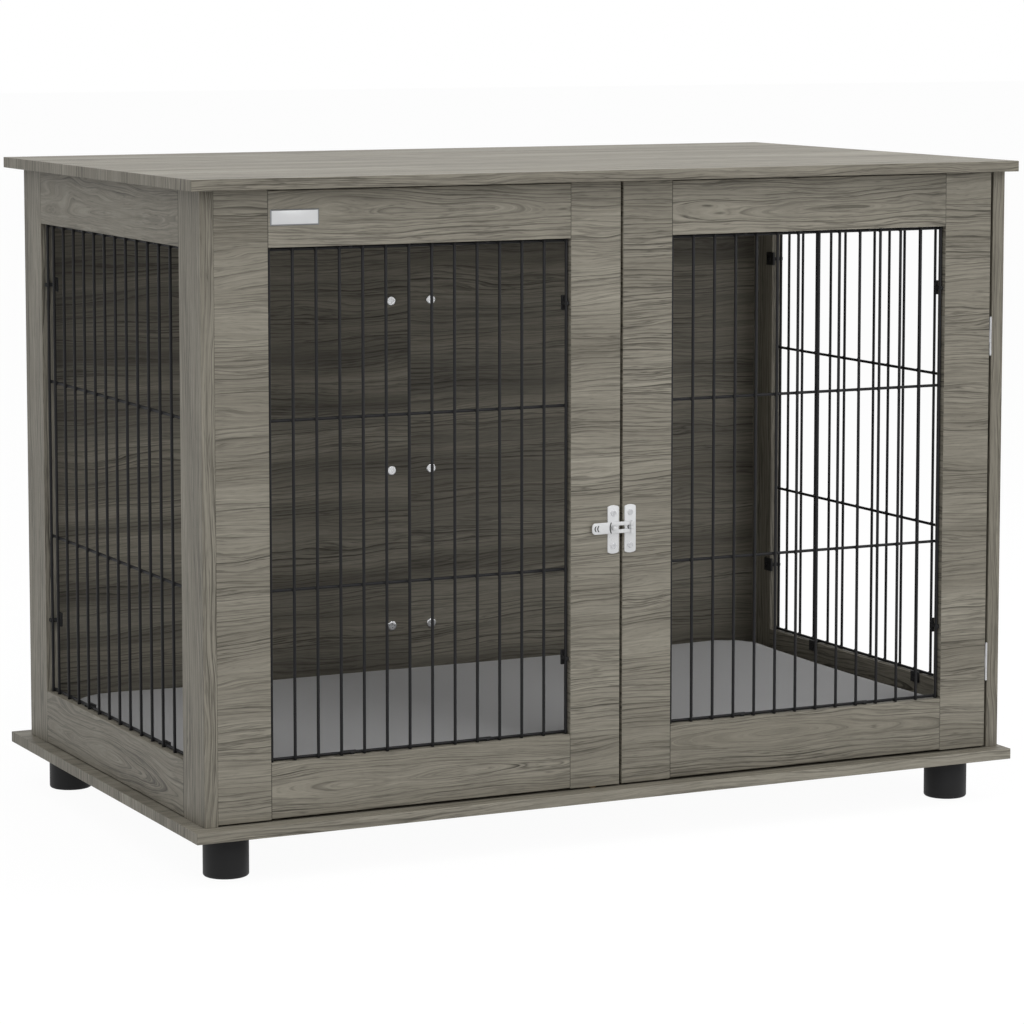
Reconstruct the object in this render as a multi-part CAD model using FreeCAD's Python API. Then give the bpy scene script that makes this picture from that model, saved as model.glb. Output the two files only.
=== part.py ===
# Dog crate end table: a cabinet of four wire-filled frames and a two-piece back
# between two boards, on four round feet, with one hinged door and a hasp latch.
# Millimetres, +Z up, front towards -Y. The origin is on the floor, under the middle.
import FreeCAD, Part
import math
import os

V = FreeCAD.Vector
UP = V(0, 0, 1)

# Boards
board_length = 1000.0
board_depth = 600.0
board_thickness = 12.0

# Cabinet between the boards
cabin_height = 663.0
panel_thickness = 15.0
back_thickness = 12.0
left_overhang = 16.0        # the cabinet stands a little right of the boards' middle
right_overhang = 6.2
front_overhang = 19.0
rear_overhang = 25.0

# Frames, each seen from outside
front_stile_width = 60.0
front_rail_width = 59.0
side_front_stile_width = 61.0
side_rear_stile_width = 46.0
side_rail_width = 60.0
rail_step = 1.0             # a rail stops this far short of its stiles' ends
door_gap = 3.2              # upright gaps beside the door
frame_foot_gap = 2.0
frame_head_gap = 1.0

# Wire meshes
wire_radius = 1.5
wire_end = 0.6              # a wire runs this far past the last one it crosses
wire_sides = 8
front_wire_pitch = 26.5
side_wire_pitch = 33.7
front_wire_margin = 3.0     # from the opening's edge to the outer upright wire
side_wire_margin = 6.2
crosswire_margin = 2.3      # from the opening's edge to the outer cross wire
crosswire_count = 4

# Mesh clips
clip_width = 16.0
clip_grip = 10.0            # on the wood, behind the opening's edge
clip_thickness = 3.0
clip_lip = 1.6              # plastic beyond the wire that it holds
clip_above_opening = 83.0   # lower clip on a stile, from the opening's lower edge
clip_below_opening = 70.0   # upper clip on a stile, from the opening's upper edge
clip_along_rail = 105.0     # rail clips sit between wires, near this far from the ends
clip_screw_head_radius = 3.0
clip_screw_head_height = 1.6
clip_screw_radius = 1.4
clip_screw_length = 9.0     # in the wood

# Dowels and cam fittings
fastener_sides = 6          # shanks and dowels
head_sides = 8
pivot_sides = 12            # pins, knuckles and other small rounds in view
dowel_radius = 4.0
dowel_length = 40.0
dowel_spacing = 30.0
locating_dowel_length = 24.0
locating_dowel_in_board = 9.0
cam_radius = 7.5
cam_depth = 12.0
cam_setback = 34.0          # from the joint to the cam's centre
cam_bolt_radius = 3.5
cam_thread_radius = 2.5
cam_thread_length = 9.0
front_cam_inset = 100.0     # from the fixed frame's top or bottom

# Screws through the boards and the back
board_screw_head_radius = 5.0
board_screw_radius = 3.0
board_screw_length = 50.0
back_screw_head_radius = 4.0
back_screw_radius = 2.0
back_screw_length = 40.0
back_screw_inset = 80.0     # top and bottom screws, from the panel's ends
back_screw_count = 3

# Strip that joins the two back panels
strip_width = 80.0
strip_thickness = 10.0
strip_bolt_spacing = 53.0
strip_bolt_heights = (96.0, 287.0, 494.0)   # above the cabin's floor
strip_bolt_head_radius = 6.2
strip_bolt_head_height = 2.4
strip_bolt_radius = 3.0
strip_nut_flats = 10.0
strip_nut_height = 5.0

# Feet
foot_height = 48.0
foot_radius = 24.5
foot_edge = 2.0             # rounding of the lower edge
foot_sides = 24
foot_side_inset = 53.3
foot_end_inset = 55.0
foot_stud_radius = 4.0
foot_stud_depth = 22.0      # into the foot
insert_radius = 6.0
insert_depth = 10.0         # into the board

# Door hinges
hinge_height = 42.4
hinge_low = 100.1           # lower hinge's centre, above the bottom board's top
hinge_high = 475.3
hinge_leaf_width = 13.0
hinge_leaf_thickness = 0.8
hinge_knuckle_radius = 1.3
hinge_pin_radius = 0.7
pin_clearance = 0.05        # round the hinge and latch pins
hinge_knuckle_gap = 0.3
hinge_screw_head_radius = 2.0
hinge_screw_radius = 1.1
hinge_screw_length = 11.0
hinge_screw_spacing = 26.0

# Hasp latch
latch_height = 284.0        # plates' centre, above the bottom board's top
latch_arm_rise = 2.0        # the arm's centre above the plates' centre
latch_plate_width = 13.7
latch_plate_height = 53.0
latch_plate_gap = 7.0
latch_plate_thickness = 1.5
latch_plate_crown = 1.6     # rise of the rounded ends
latch_corner_radius = 1.5
latch_arm_height = 12.4
latch_slot_height = 4.2
latch_arm_thickness = 1.4
latch_tab_length = 17.9     # beyond the keeper plate
latch_tab_lift = 2.5
latch_knuckle_radius = 2.1
latch_pin_radius = 1.0
latch_clearance = 0.35
latch_staple_length = 6.0
latch_staple_reach = 4.5    # in front of the arm
latch_staple_hole = 1.3
latch_screw_spacing = 36.0
latch_screw_head_radius = 2.9
latch_screw_radius = 1.6
latch_screw_length = 12.0

# Nameplate, bare
nameplate_length = 54.8
nameplate_height = 16.9
nameplate_thickness = 1.2
nameplate_from_edge = 61.0  # from the fixed frame's left edge
nameplate_below_top = 20.4  # from the fixed frame's top
nameplate_corner = 1.5

# Cushion
cushion_thickness = 50.0
cushion_side_gap = 11.5
cushion_front_gap = 11.0
cushion_rear_gap = 5.0
cushion_corner_radius = 45.0
cushion_side_sag = 3.0      # how far the sides bow in between the corners

# ------------------------------------------------------------------ places
front_y = -board_depth / 2 + front_overhang
back_y = board_depth / 2 - rear_overhang
panel_back_y = back_y - back_thickness
left_x = -board_length / 2 + left_overhang
right_x = board_length / 2 - right_overhang
inner_left = left_x + panel_thickness
inner_right = right_x - panel_thickness
floor_z = foot_height + board_thickness
ceiling_z = floor_z + cabin_height
side_depth = panel_back_y - front_y
front_frame_height = cabin_height - frame_foot_gap - frame_head_gap
door_width = (inner_right - inner_left) / 2 - door_gap
seam_x = inner_right - door_width - 1.5 * door_gap

pieces = {}


# ------------------------------------------------------------------ helpers
def box(low, high):
    """A block between two opposite corners."""
    size = V(*high) - V(*low)
    return Part.makeBox(size.x, size.y, size.z, V(*low))


def spindle(levels, sides):
    """A faceted turning about Z from (radius, height) levels, lowest first.
    The radii are those of the flats, so that crossed bars touch."""
    step = 2 * math.pi / sides
    rings = [[V(r * math.cos((i + 0.5) * step), r * math.sin((i + 0.5) * step), 0)
              / math.cos(step / 2) + V(0, 0, z) for i in range(sides)] for r, z in levels]
    outlines = [rings[0], rings[-1]]
    for low, high in zip(rings, rings[1:]):
        outlines += [[low[i - 1], low[i], high[i], high[i - 1]] for i in range(sides)]
    faces = [Part.Face(Part.makePolygon(outline + outline[:1])) for outline in outlines]
    return Part.makeSolid(Part.makeShell(faces))


def rod(start, end, radius, sides):
    """A faceted bar between two points."""
    along = V(*end) - V(*start)
    return aimed(spindle([(radius, 0), (radius, along.Length)], sides), start, along)


def aimed(shape, place, direction):
    """A copy of a shape drawn along +Z, moved to a place and turned to a direction."""
    moved = shape.copy()
    moved.Placement = FreeCAD.Placement(V(*place), FreeCAD.Rotation(UP, V(*direction)))
    return moved


def group(shapes):
    return Part.makeCompound(list(shapes))


def bore(node, tools):
    """Cut seats for the given solids into one of the pieces."""
    pieces[node] = pieces[node].cut(list(tools))


def countersunk_screw(head_radius, shank_radius, length, sides):
    """Its flat head is at z=0 and its shank runs up +Z."""
    cone = head_radius - shank_radius
    return spindle([(head_radius, 0), (shank_radius, cone), (shank_radius, length)], sides)


def domed_screw(head_radius, head_height, shank_radius, length, sides):
    """Its domed head stands below z=0 and its shank runs up +Z."""
    return spindle([(0.7 * head_radius, -head_height), (head_radius, 0),
                    (shank_radius, 0), (shank_radius, length)], sides)


# ------------------------------------------------------------------ frames
def even_places(low, high, pitch):
    """Places from low to high, evenly spread at about the given pitch."""
    steps = round((high - low) / pitch)
    return [low + i * (high - low) / steps for i in range(steps + 1)]


def stepped_places(low, high, pitch):
    """Places at the given pitch from low, with one more at high that closes the mesh."""
    steps = int((high - low) / pitch - 0.5)
    return [low + i * pitch for i in range(steps + 1)] + [high]


class Frame:
    """A wire-filled frame drawn as seen from outside: x to the right, y inwards
    from its outer face, z up from its lower edge."""

    def __init__(self, name, placement, size, stiles, rail_width, wires):
        self.name = name
        self.placement = placement
        self.width, self.height = size
        self.left_stile, self.right_stile = stiles
        self.rail_width = rail_width
        self.pitch, self.margin, self.order = wires
        self.opening_low = V(self.left_stile, 0, rail_step + rail_width)
        self.opening_high = V(self.width - self.right_stile, 0,
                              self.height - rail_step - rail_width)
        self.middle = panel_thickness / 2
        self.build_wood()
        self.build_mesh()
        self.build_clips()

    def out(self, shape):
        """Move a shape drawn in the frame's own axes to its place in the table."""
        moved = shape.copy()
        moved.Placement = self.placement.multiply(shape.Placement)
        return moved

    def part(self, name):
        return self.name + "_" + name

    def build_wood(self):
        low, high = self.opening_low, self.opening_high
        wood = {
            "left_stile": box((0, 0, 0), (low.x, panel_thickness, self.height)),
            "right_stile": box((high.x, 0, 0), (self.width, panel_thickness, self.height)),
            "bottom_rail": box((low.x, 0, rail_step), (high.x, panel_thickness, low.z)),
            "top_rail": box((low.x, 0, high.z),
                            (high.x, panel_thickness, self.height - rail_step)),
        }
        for name, shape in wood.items():
            pieces[self.part(name)] = self.out(shape)
        self.dowels = []
        for rail, centre in (("bottom_rail", low.z - self.rail_width / 2),
                             ("top_rail", high.z + self.rail_width / 2)):
            for stile, x in (("left_stile", low.x), ("right_stile", high.x)):
                pair = [self.out(rod((x - dowel_length / 2, self.middle, centre + rise),
                                     (x + dowel_length / 2, self.middle, centre + rise),
                                     dowel_radius, fastener_sides))
                        for rise in (-dowel_spacing / 2, dowel_spacing / 2)]
                bore(self.part(rail), pair)
                bore(self.part(stile), pair)
                self.dowels += pair

    def build_mesh(self):
        """Upright wires in front, cross wires welded on behind."""
        low, high = self.opening_low, self.opening_high
        left, right = low.x + self.margin, high.x - self.margin
        if self.order == "even":
            self.uprights = even_places(left, right, self.pitch)
        else:
            self.uprights = stepped_places(left, right, self.pitch)
        if self.order == "from right":
            self.uprights = [left + right - x for x in self.uprights]
        bottom, top = low.z + crosswire_margin, high.z - crosswire_margin
        step = (top - bottom) / (crosswire_count - 1)
        self.crosses = [bottom + i * step for i in range(crosswire_count)]
        self.upright_y = self.middle - wire_radius
        self.cross_y = self.middle + wire_radius
        end = wire_radius + wire_end
        wires = [rod((x, self.upright_y, bottom - end), (x, self.upright_y, top + end),
                     wire_radius, wire_sides) for x in self.uprights]
        wires += [rod((left - end, self.cross_y, z), (right + end, self.cross_y, z),
                      wire_radius, wire_sides) for z in self.crosses]
        pieces[self.part("mesh")] = self.out(group(wires))

    def build_clips(self):
        """Screwed tabs on the inner face that snap over the outer wires."""
        low, high = self.opening_low, self.opening_high
        clips, screws = [], []
        heights = (low.z + clip_above_opening, high.z - clip_below_opening)
        inward = sorted(self.uprights)
        gaps = [(a + b) / 2 for a, b in zip(inward, inward[1:])]
        crossways = [min(gaps, key=lambda x: abs(x - wanted))
                     for wanted in (low.x + clip_along_rail, high.x - clip_along_rail)]
        upright = (self.margin, panel_thickness - self.upright_y)
        cross = (crosswire_margin, panel_thickness - self.cross_y)
        seats = [("left_stile", V(low.x, 0, z), V(1, 0, 0), upright) for z in heights]
        seats += [("right_stile", V(high.x, 0, z), V(-1, 0, 0), upright) for z in heights]
        seats += [("bottom_rail", V(x, 0, low.z), V(0, 0, 1), cross) for x in crossways]
        seats += [("top_rail", V(x, 0, high.z), V(0, 0, -1), cross) for x in crossways]
        for wood, edge, into, wire in seats:
            clip, screw = mesh_clip(*wire)
            turn = FreeCAD.Rotation(into, V(0, 0, 0), V(0, 1, 0), "XZY")
            place = FreeCAD.Placement(V(edge.x, panel_thickness, edge.z), turn)
            for shape in (clip, screw):
                shape.Placement = place.multiply(shape.Placement)
            clip, screw = self.out(clip), self.out(screw)
            bore(self.part(wood), [screw])
            clips.append(clip)
            screws.append(screw)
        pieces[self.part("mesh_clips")] = group(clips)
        self.clip_screws = screws

    def cam_fitting(self, x, z, direction):
        """A cam in the inner face and its bolt, which reaches past the joint."""
        centre = (x, self.middle, z)
        cam = rod((x, panel_thickness - cam_depth, z), (x, panel_thickness, z), cam_radius,
                  head_sides)
        bolt = aimed(spindle([(cam_bolt_radius, 0), (cam_bolt_radius, cam_setback),
                              (cam_thread_radius, cam_setback),
                              (cam_thread_radius, cam_setback + cam_thread_length)],
                             fastener_sides), centre, direction)
        return self.out(cam.cut(bolt)), self.out(bolt)


def mesh_clip(margin, depth):
    """A tab drawn at the opening's edge: x runs into the opening, z into the cabinet.
    It holds a wire that lies at x=margin, the given depth below the inner face."""
    reach = margin + wire_radius + clip_lip
    half = clip_width / 2
    plate = box((-clip_grip, -half, 0), (reach, half, clip_thickness))
    leg = box((0, -half, -depth - wire_radius - clip_lip / 2), (reach, half, 0))
    wire = rod((margin, -clip_width, -depth), (margin, clip_width, -depth), wire_radius,
               wire_sides)
    screw = aimed(domed_screw(clip_screw_head_radius, clip_screw_head_height,
                              clip_screw_radius, clip_screw_length + clip_thickness,
                              fastener_sides),
                  (-clip_grip / 2, 0, clip_thickness), (0, 0, -1))
    return plate.fuse(leg).removeSplitter().cut([wire, screw]), screw


def facing(x, y, z, quarter_turns):
    """Where a frame stands, and how many quarter turns its outside faces from -Y."""
    return FreeCAD.Placement(V(x, y, z), FreeCAD.Rotation(UP, 90.0 * quarter_turns))


def build_frames():
    side_wires = (side_wire_pitch, side_wire_margin)
    front_wires = (front_wire_pitch, front_wire_margin, "even")
    front_stiles = (front_stile_width, front_stile_width)
    front_z = floor_z + frame_foot_gap
    left = Frame("side_left", facing(left_x, panel_back_y, floor_z, -1),
                 (side_depth, cabin_height),
                 (side_rear_stile_width, side_front_stile_width),
                 side_rail_width, side_wires + ("from right",))
    right = Frame("side_right", facing(right_x, front_y, floor_z, 1),
                  (side_depth, cabin_height),
                  (side_front_stile_width, side_rear_stile_width),
                  side_rail_width, side_wires + ("from left",))
    fixed = Frame("front_fixed", facing(inner_left, front_y, front_z, 0),
                  (door_width, front_frame_height), front_stiles,
                  front_rail_width, front_wires)
    door = Frame("door", facing(seam_x + door_gap / 2, front_y, front_z, 0),
                 (door_width, front_frame_height), front_stiles,
                 front_rail_width, front_wires)
    return left, right, fixed, door


# ------------------------------------------------------------------ boards, back
def build_boards():
    for name, z in (("bottom_board", foot_height), ("top_board", ceiling_z)):
        pieces[name] = box((-board_length / 2, -board_depth / 2, z),
                           (board_length / 2, board_depth / 2, z + board_thickness))


def build_back():
    for name, x0, x1 in (("back_left_panel", left_x, 0), ("back_right_panel", 0, right_x)):
        pieces[name] = box((x0, panel_back_y, floor_z), (x1, back_y, ceiling_z))
    pieces["back_joining_strip"] = box((-strip_width / 2, back_y, floor_z),
                                       (strip_width / 2, back_y + strip_thickness, ceiling_z))
    rear_y = back_y + strip_thickness
    bolts, nuts = [], []
    for height in strip_bolt_heights:
        for x in (-strip_bolt_spacing / 2, strip_bolt_spacing / 2):
            z = floor_z + height
            length = rear_y + strip_nut_height - panel_back_y
            bolt = aimed(domed_screw(strip_bolt_head_radius, strip_bolt_head_height,
                                     strip_bolt_radius, length, head_sides),
                         (x, panel_back_y, z), (0, 1, 0))
            nut = rod((x, rear_y, z), (x, rear_y + strip_nut_height, z), strip_nut_flats / 2, 6)
            nuts.append(nut.cut(bolt))
            bolts.append(bolt)
            bore("back_left_panel" if x < 0 else "back_right_panel", [bolt])
            bore("back_joining_strip", [bolt])
    pieces["back_strip_bolts"] = group(bolts)
    pieces["back_strip_nuts"] = group(nuts)


def fasten_back(left, right):
    """Screws from behind into the side frames' rear stiles."""
    screws = []
    run = cabin_height - 2 * back_screw_inset
    for frame, panel, stile, x in (
            (left, "back_left_panel", "left_stile", left_x + panel_thickness / 2),
            (right, "back_right_panel", "right_stile", right_x - panel_thickness / 2)):
        for i in range(back_screw_count):
            z = floor_z + back_screw_inset + run * i / (back_screw_count - 1)
            screw = aimed(countersunk_screw(back_screw_head_radius, back_screw_radius,
                                            back_screw_length, fastener_sides),
                          (x, back_y, z), (0, -1, 0))
            bore(panel, [screw])
            bore(frame.part(stile), [screw])
            screws.append(screw)
    pieces["back_panel_screws"] = group(screws)


def fasten_boards(left, right):
    """Screws up through the bottom board, cams and bolts up into the top board."""
    screws, cams, bolts = [], [], []
    screw = countersunk_screw(board_screw_head_radius, board_screw_radius,
                              board_screw_length, fastener_sides)
    for frame in (left, right):
        clear_of_dowels = -dowel_length / 4
        for stile, x in (("left_stile", frame.left_stile / 2 + clear_of_dowels),
                         ("right_stile", frame.width - frame.right_stile / 2 - clear_of_dowels)):
            point = frame.placement.multVec(V(x, frame.middle, -board_thickness))
            one = aimed(screw, point, (0, 0, 1))
            bore(frame.part(stile), [one])
            bore("bottom_board", [one])
            screws.append(one)
            cam, bolt = frame.cam_fitting(x, frame.height - cam_setback, (0, 0, 1))
            bore(frame.part(stile), [cam, bolt])
            bore("top_board", [bolt])
            cams.append(cam)
            bolts.append(bolt)
    pieces["bottom_board_screws"] = group(screws)
    return cams, bolts


def fasten_fixed_frame(fixed):
    """Cams along its left edge, and a locating dowel above and below its right stile."""
    cams, bolts = [], []
    for z in (front_cam_inset, fixed.height / 2, fixed.height - front_cam_inset):
        cam, bolt = fixed.cam_fitting(cam_setback, z, (-1, 0, 0))
        bore(fixed.part("left_stile"), [cam, bolt])
        bore("side_left_right_stile", [bolt])
        cams.append(cam)
        bolts.append(bolt)
    dowels = []
    x = seam_x - door_gap / 2 - front_stile_width / 2
    y = front_y + panel_thickness / 2
    low_end = floor_z - locating_dowel_in_board
    high_start = ceiling_z + locating_dowel_in_board - locating_dowel_length
    for board, z in (("bottom_board", low_end), ("top_board", high_start)):
        dowel = rod((x, y, z), (x, y, z + locating_dowel_length), dowel_radius,
                    fastener_sides)
        bore(board, [dowel])
        bore(fixed.part("right_stile"), [dowel])
        dowels.append(dowel)
    return cams, bolts, dowels


# ------------------------------------------------------------------ feet
def build_feet():
    foot = spindle([(foot_radius - foot_edge, 0),
                    (foot_radius - 0.3 * foot_edge, 0.3 * foot_edge),
                    (foot_radius, foot_edge), (foot_radius, foot_height)], foot_sides)
    x = board_length / 2 - foot_side_inset
    y = board_depth / 2 - foot_end_inset
    studs, inserts = [], []
    for name, place in (("foot_front_left", (-x, -y)), ("foot_front_right", (x, -y)),
                        ("foot_rear_left", (-x, y)), ("foot_rear_right", (x, y))):
        low = place + (foot_height - foot_stud_depth,)
        middle = place + (foot_height,)
        high = place + (foot_height + insert_depth,)
        stud = rod(low, high, foot_stud_radius, fastener_sides)
        seat = rod(middle, high, insert_radius, head_sides)
        pieces[name] = foot.translated(V(place[0], place[1], 0)).cut(stud)
        bore("bottom_board", [seat])
        studs.append(stud)
        inserts.append(seat.cut(stud))
    pieces["foot_studs"] = group(studs)
    pieces["foot_insert_nuts"] = group(inserts)


# ------------------------------------------------------------------ door hinges
def build_hinge(name, z):
    """A butt hinge in the gap beside the door. Its axis stands on the front plane."""
    axis_x = inner_right - door_gap / 2
    low, high = z - hinge_height / 2, z + hinge_height / 2
    third = hinge_height / 3
    behind = front_y + hinge_knuckle_radius + hinge_knuckle_gap
    pin = rod((axis_x, front_y, low), (axis_x, front_y, high), hinge_pin_radius, pivot_sides)

    def leaf(wall_x, inner_x, bands):
        """A plate against a wall, with knuckles in the given height bands."""
        x0, x1 = sorted((wall_x, inner_x))
        shape = box((x0, behind, low), (x1, front_y + hinge_leaf_width, high))
        for start, end in bands:
            barrel = rod((axis_x, front_y, start), (axis_x, front_y, end),
                         hinge_knuckle_radius, pivot_sides)
            shape = shape.fuse([barrel, box((x0, front_y, start), (x1, behind, end))])
        return shape.removeSplitter().cut(pin)

    outer_bands = ((low, low + third), (high - third, high))
    inner_band = ((low + third + hinge_knuckle_gap, high - third - hinge_knuckle_gap),)
    door_x = inner_right - door_gap
    frame_leaf = leaf(inner_right, inner_right - hinge_leaf_thickness, outer_bands)
    door_leaf = leaf(door_x, door_x + hinge_leaf_thickness, inner_band)
    running = rod((axis_x, front_y, low), (axis_x, front_y, high),
                  hinge_pin_radius + pin_clearance, pivot_sides)
    door_leaf = door_leaf.cut(running)
    screw = countersunk_screw(hinge_screw_head_radius, hinge_screw_radius,
                              hinge_screw_length, fastener_sides)
    screw_y = front_y + panel_thickness / 2
    frame_screws, door_screws = [], []
    for rise in (-hinge_screw_spacing / 2, hinge_screw_spacing / 2):
        frame_screws.append(aimed(screw, (inner_right - hinge_leaf_thickness, screw_y, z + rise),
                                  (1, 0, 0)))
        door_screws.append(aimed(screw, (door_x + hinge_leaf_thickness, screw_y, z + rise),
                                 (-1, 0, 0)))
    pieces[name + "_frame_leaf"] = frame_leaf.cut(frame_screws)
    pieces[name + "_door_leaf"] = door_leaf.cut(door_screws)
    bore("side_right_left_stile", frame_screws)
    bore("door_right_stile", door_screws)
    return pin, frame_screws, door_screws


# ------------------------------------------------------------------ latch
def latch_plate(x):
    """A flat plate with shallow round ends, on the front plane."""
    half_w, half_h = latch_plate_width / 2, latch_plate_height / 2
    shoulder = half_h - latch_plate_crown
    z = floor_z + latch_height
    top = Part.Arc(V(x - half_w, front_y, z + shoulder), V(x, front_y, z + half_h),
                   V(x + half_w, front_y, z + shoulder)).toShape()
    bottom = Part.Arc(V(x + half_w, front_y, z - shoulder), V(x, front_y, z - half_h),
                      V(x - half_w, front_y, z - shoulder)).toShape()
    sides = [Part.makeLine(V(x + s * half_w, front_y, z + shoulder),
                           V(x + s * half_w, front_y, z - shoulder)) for s in (1, -1)]
    outline = Part.Wire(Part.__sortEdges__([top, sides[0], bottom, sides[1]]))
    plate = Part.Face(outline).extrude(V(0, -latch_plate_thickness, 0))
    corners = [edge for edge in plate.Edges
               if edge.BoundBox.YLength > latch_plate_thickness / 2
               and edge.BoundBox.XLength < 0.001 and edge.BoundBox.ZLength < 0.001]
    return plate.makeFillet(latch_corner_radius, corners)


def latch_screws(x):
    z = floor_z + latch_height
    screw = countersunk_screw(latch_screw_head_radius, latch_screw_radius,
                              latch_screw_length, pivot_sides)
    return [aimed(screw, (x, front_y - latch_plate_thickness, z + rise), (0, 1, 0))
            for rise in (-latch_screw_spacing / 2, latch_screw_spacing / 2)]


def build_latch():
    """A staple plate on the fixed frame, and a forked arm hinged on the door's plate."""
    reach = (latch_plate_gap + latch_plate_width) / 2
    keeper_x, pivot_plate_x = seam_x - reach, seam_x + reach
    arm_z = floor_z + latch_height + latch_arm_rise
    face_y = front_y - latch_plate_thickness
    axis_x = pivot_plate_x + latch_knuckle_radius / 2
    axis_y = face_y - latch_clearance - latch_knuckle_radius
    arm_back = face_y - latch_clearance
    arm_front = arm_back - latch_arm_thickness
    low, high = arm_z - latch_arm_height / 2, arm_z + latch_arm_height / 2

    # The arm, seen from above: knuckle, flat run and lifted thumb tab.
    tab_x = keeper_x - latch_plate_width / 2 - latch_tab_length
    bend_x = keeper_x - latch_plate_width / 2
    strip = [V(axis_x, arm_back, low), V(bend_x, arm_back, low),
             V(tab_x, arm_back - latch_tab_lift, low), V(tab_x, arm_front - latch_tab_lift, low),
             V(bend_x, arm_front, low), V(axis_x, arm_front, low)]
    arm = Part.Face(Part.makePolygon(strip + strip[:1])).extrude(V(0, 0, latch_arm_height))
    arm = arm.fuse(rod((axis_x, axis_y, low), (axis_x, axis_y, high),
                       latch_knuckle_radius, pivot_sides))
    ear_half = latch_slot_height / 2
    slot_end = keeper_x - latch_staple_length / 2 - latch_clearance
    slot = box((slot_end, arm_front - latch_knuckle_radius * 2, arm_z - ear_half),
               (axis_x + latch_knuckle_radius * 2, face_y, arm_z + ear_half))
    pin = rod((axis_x, axis_y, low - latch_clearance), (axis_x, axis_y, high + latch_clearance),
              latch_pin_radius, pivot_sides)
    running = rod((axis_x, axis_y, low), (axis_x, axis_y, high),
                  latch_pin_radius + pin_clearance, pivot_sides)
    arm = arm.removeSplitter().cut([slot, running])
    ends = [edge for edge in arm.Edges if edge.BoundBox.XMax < tab_x + 0.001
            and edge.BoundBox.YLength > latch_arm_thickness / 2]
    arm = arm.makeFillet(latch_corner_radius, ends)

    # The pivot plate's ear stands in the arm's fork and holds the pin.
    ear_low, ear_high = arm_z - ear_half + latch_clearance, arm_z + ear_half - latch_clearance
    ear = rod((axis_x, axis_y, ear_low), (axis_x, axis_y, ear_high), latch_knuckle_radius,
              pivot_sides)
    web = box((axis_x - latch_knuckle_radius, axis_y, ear_low),
              (axis_x + latch_knuckle_radius, face_y, ear_high))
    pivot_screws = latch_screws(pivot_plate_x)
    pivot = latch_plate(pivot_plate_x).fuse([ear, web]).removeSplitter()
    pieces["latch_pivot_plate"] = pivot.cut(pivot_screws + [pin])

    # The keeper plate's staple passes through the arm's slot.
    staple_half = ear_half - latch_clearance
    tip_y = arm_front - latch_staple_reach
    staple = box((keeper_x - latch_staple_length / 2, tip_y, arm_z - staple_half),
                 (keeper_x + latch_staple_length / 2, face_y, arm_z + staple_half))
    tips = [edge for edge in staple.Edges if edge.BoundBox.YMax < tip_y + 0.001
            and edge.BoundBox.ZLength > staple_half]
    staple = staple.makeFillet(latch_corner_radius, tips)
    hole_y = (tip_y + arm_front) / 2
    hole = rod((keeper_x, hole_y, arm_z - latch_slot_height),
               (keeper_x, hole_y, arm_z + latch_slot_height), latch_staple_hole, pivot_sides)
    keeper_screws = latch_screws(keeper_x)
    keeper = latch_plate(keeper_x).fuse(staple).removeSplitter()
    pieces["latch_keeper_plate"] = keeper.cut(keeper_screws + [hole])

    pieces["latch_arm"] = arm
    pieces["latch_pin"] = pin
    pieces["latch_keeper_screws"] = group(keeper_screws)
    pieces["latch_pivot_screws"] = group(pivot_screws)
    bore("front_fixed_right_stile", keeper_screws)
    bore("door_left_stile", pivot_screws)


# ------------------------------------------------------------------ small and soft pieces
def build_nameplate():
    x = inner_left + nameplate_from_edge
    z = floor_z + frame_foot_gap + front_frame_height - nameplate_below_top
    plate = box((x, front_y - nameplate_thickness, z - nameplate_height),
                (x + nameplate_length, front_y, z))
    corners = [edge for edge in plate.Edges
               if edge.BoundBox.YLength > nameplate_thickness / 2]
    pieces["nameplate"] = plate.makeFillet(nameplate_corner, corners)


def cushion_outline(half_x, half_y, corner, sag, z):
    """Four long arcs that bow in, joined by round corners."""
    edges = []
    flat_x, flat_y = half_x - corner, half_y - corner
    bulge = corner * math.sqrt(0.5)
    starts = []
    for turn, along, out in ((0, flat_x, half_y), (1, flat_y, half_x),
                             (2, flat_x, half_y), (3, flat_y, half_x)):
        spin = FreeCAD.Rotation(UP, 90.0 * turn)
        side = [spin.multVec(V(-along, -out, 0)), spin.multVec(V(0, -out + sag, 0)),
                spin.multVec(V(along, -out, 0))]
        centre = spin.multVec(V(along, -out + corner, 0))
        starts.append((side, centre + spin.multVec(V(bulge, -bulge, 0))))
    lift = V(0, 0, z)
    for i, (side, corner_point) in enumerate(starts):
        following = starts[(i + 1) % 4][0]
        edges.append(Part.Arc(*[p + lift for p in side]).toShape())
        edges.append(Part.Arc(side[2] + lift, corner_point + lift, following[0] + lift).toShape())
    return Part.Wire(edges)


def build_cushion():
    """A crowned pad: each level is (height as a share, how far its outline draws in)."""
    half_x = (inner_right - inner_left) / 2 - cushion_side_gap
    low_y = front_y + panel_thickness + cushion_front_gap
    high_y = panel_back_y - cushion_rear_gap
    half_y = (high_y - low_y) / 2
    levels = ((0.0, 15.0), (0.12, 5.0), (0.3, 0.5), (0.5, 0.0), (0.68, 2.5), (0.82, 10.0),
              (0.92, 26.0), (0.98, 58.0), (1.0, 110.0))
    outlines = [cushion_outline(half_x - draw, half_y - draw, cushion_corner_radius,
                                cushion_side_sag, cushion_thickness * share)
                for share, draw in levels]
    pad = Part.makeLoft(outlines, True, True)
    pieces["cushion"] = pad.translated(V((inner_left + inner_right) / 2, (low_y + high_y) / 2, floor_z))


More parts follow.
